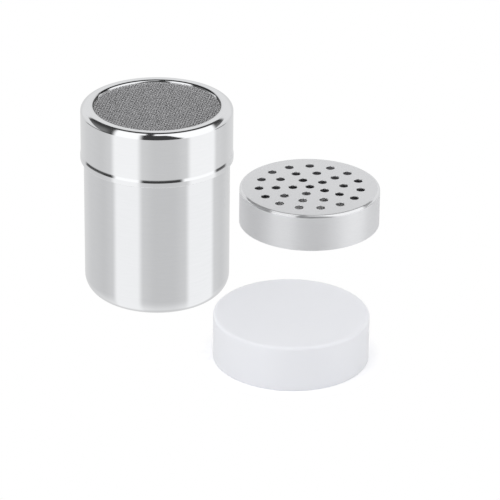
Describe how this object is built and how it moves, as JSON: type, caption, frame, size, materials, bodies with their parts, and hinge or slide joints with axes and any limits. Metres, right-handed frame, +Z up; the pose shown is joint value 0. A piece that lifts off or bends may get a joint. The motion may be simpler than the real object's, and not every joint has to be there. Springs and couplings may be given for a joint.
{
  "type": "spice shaker",
  "caption": "Round polished steel spice shaker with a slip-on wire mesh lid, a spare perforated lid and a soft translucent dust cover, each of which lifts straight off.",
  "frame": {"origin": "middle of the cup's standing ring, on the surface it stands on", "axes": "+Z up the cup's axis; the spare lid and the dust cover stand towards +X, the spare lid at +Y (back) and the cover at -Y (front)"},
  "size_m": [0.1424, 0.2121, 0.0929],
  "materials": {
    "polished_steel": "mirror polished stainless steel",
    "satin_steel": "satin stainless steel",
    "mesh_steel": "woven stainless wire",
    "frosted_plastic": "frosted translucent polyethylene"
  },
  "bodies": {
    "cup": {"cup_body": "polished_steel"},
    "mesh_lid": {"mesh_lid_shell": "polished_steel", "mesh_warp_wires": "mesh_steel", "mesh_weft_wires": "mesh_steel", "mesh_retaining_ring": "polished_steel"},
    "spare_lid": {"perforated_lid": "satin_steel"},
    "cover": {"dust_cover": "frosted_plastic"}
  },
  "joints": [
    {"name": "mesh_lid_lift", "type": "slide", "parent": "cup", "child": "mesh_lid", "axis": [0, 0, 1], "range_m": [0, 0.06]},
    {"name": "spare_lid_lift", "type": "slide", "parent": "cup", "child": "spare_lid", "axis": [0, 0, 1], "range_m": [0, 0.06]},
    {"name": "cover_lift", "type": "slide", "parent": "cup", "child": "cover", "axis": [0, 0, 1], "range_m": [0, 0.06]}
  ]
}
